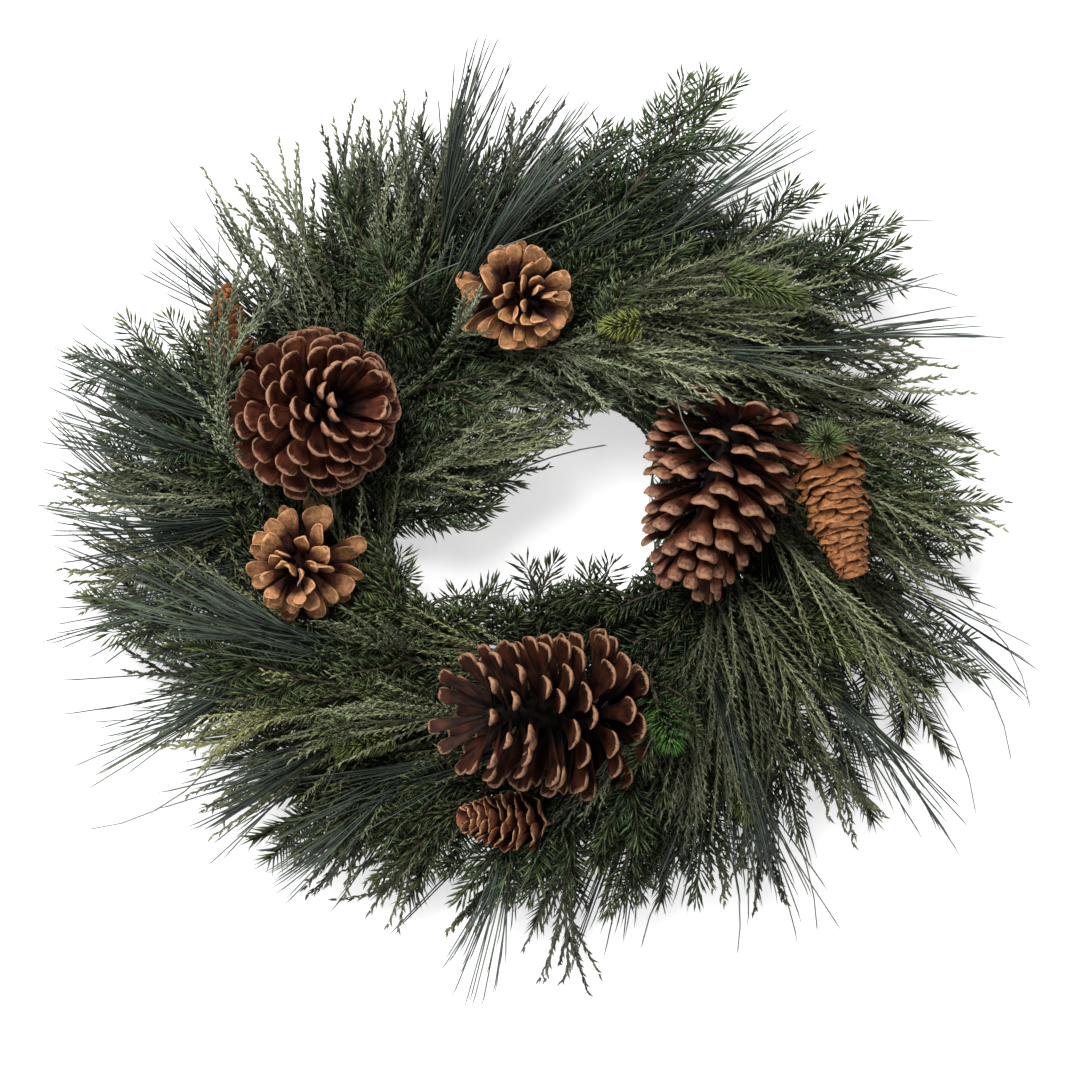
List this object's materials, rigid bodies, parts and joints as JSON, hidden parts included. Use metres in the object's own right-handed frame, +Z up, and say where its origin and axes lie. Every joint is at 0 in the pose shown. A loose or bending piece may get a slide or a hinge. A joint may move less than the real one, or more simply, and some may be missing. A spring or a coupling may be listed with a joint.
{
  "type": "evergreen wreath",
  "caption": "Round preserved evergreen wreath of fir, long-needle pine and cedar sprays with pine and spruce cones on a ring of wound vines, lying on its back.",
  "frame": {"origin": "on the surface that the wreath lies on, under the middle of its box", "axes": "+Z up out of the wreath's front, +Y towards the top of the wreath as it would hang, +X to the right of someone looking at its front"},
  "size_m": [0.5948, 0.5828, 0.1335],
  "materials": {
    "fir_needles": "waxy matte green needles",
    "pine_needles": "satin blue-green needles",
    "cedar_leaves": "matte grey-green scale leaves",
    "umber_scales": "dry dark brown scales with tan lips",
    "tan_scales": "dry light brown scales",
    "vine_bark": "rough dry bark"
  },
  "bodies": {
    "root": {"cedar_spray_01": "cedar_leaves", "cedar_spray_02": "cedar_leaves", "cedar_spray_03": "cedar_leaves", "cedar_spray_04": "cedar_leaves", "cedar_spray_05": "cedar_leaves", "cedar_spray_06": "cedar_leaves", "cedar_spray_07": "cedar_leaves", "cedar_spray_08": "cedar_leaves", "cedar_spray_09": "cedar_leaves", "cedar_spray_10": "cedar_leaves", "cedar_spray_11": "cedar_leaves", "cedar_spray_12": "cedar_leaves", "cedar_spray_13": "cedar_leaves", "cedar_spray_14": "cedar_leaves", "cedar_spray_15": "cedar_leaves", "cedar_spray_16": "cedar_leaves", "cedar_spray_17": "cedar_leaves", "cedar_spray_18": "cedar_leaves", "cedar_spray_19": "cedar_leaves", "cone_a": "umber_scales", "cone_b": "tan_scales", "cone_c": "tan_scales", "cone_d": "umber_scales", "cone_e": "tan_scales", "cone_f": "umber_scales", "cone_g": "tan_scales", "cone_h": "tan_scales", "fir_spray_01": "fir_needles", "fir_spray_02": "fir_needles", "fir_spray_03": "fir_needles", "fir_spray_04": "fir_needles", "fir_spray_05": "fir_needles", "fir_spray_06": "fir_needles", "fir_spray_07": "fir_needles", "fir_spray_08": "fir_needles", "fir_spray_09": "fir_needles", "fir_spray_10": "fir_needles", "fir_spray_11": "fir_needles", "fir_spray_12": "fir_needles", "fir_spray_13": "fir_needles", "fir_spray_14": "fir_needles", "fir_spray_15": "fir_needles", "fir_spray_16": "fir_needles", "pine_spray_01": "pine_needles", "pine_spray_02": "pine_needles", "pine_spray_03": "pine_needles", "pine_spray_04": "pine_needles", "pine_spray_05": "pine_needles", "pine_spray_06": "pine_needles", "pine_spray_07": "pine_needles", "pine_spray_08": "pine_needles", "pine_spray_09": "pine_needles", "pine_spray_10": "pine_needles", "pine_spray_11": "pine_needles", "pine_spray_12": "pine_needles", "pine_spray_13": "pine_needles", "pine_spray_14": "pine_needles", "pine_spray_15": "pine_needles", "pine_spray_16": "pine_needles", "vine_ring": "vine_bark"}
  },
  "joints": []
}
